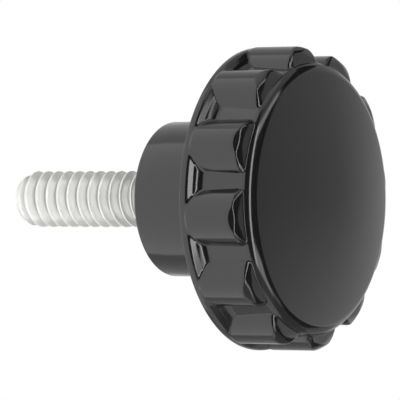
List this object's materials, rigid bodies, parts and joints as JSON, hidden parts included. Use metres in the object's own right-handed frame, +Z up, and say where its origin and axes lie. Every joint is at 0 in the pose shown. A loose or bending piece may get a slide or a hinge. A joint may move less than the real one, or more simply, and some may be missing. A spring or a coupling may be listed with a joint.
{
  "type": "fluted knob",
  "caption": "Round fluted clamping knob with half-round grip lobes, a domed face, a plain hub and a moulded-in threaded steel stud.",
  "frame": {"origin": "centre of the hub's seat face, where the stud leaves the hub", "axes": "+Y along the stud towards its tip, -Y out of the domed face, +Z up as in the picture"},
  "size_m": [0.0252, 0.0303, 0.0252],
  "materials": {
    "black_thermoset": "moulded gloss",
    "zinc_plated_steel": "bright zinc plate"
  },
  "bodies": {
    "root": {"knob_body": "black_thermoset", "threaded_stud": "zinc_plated_steel"}
  },
  "joints": []
}
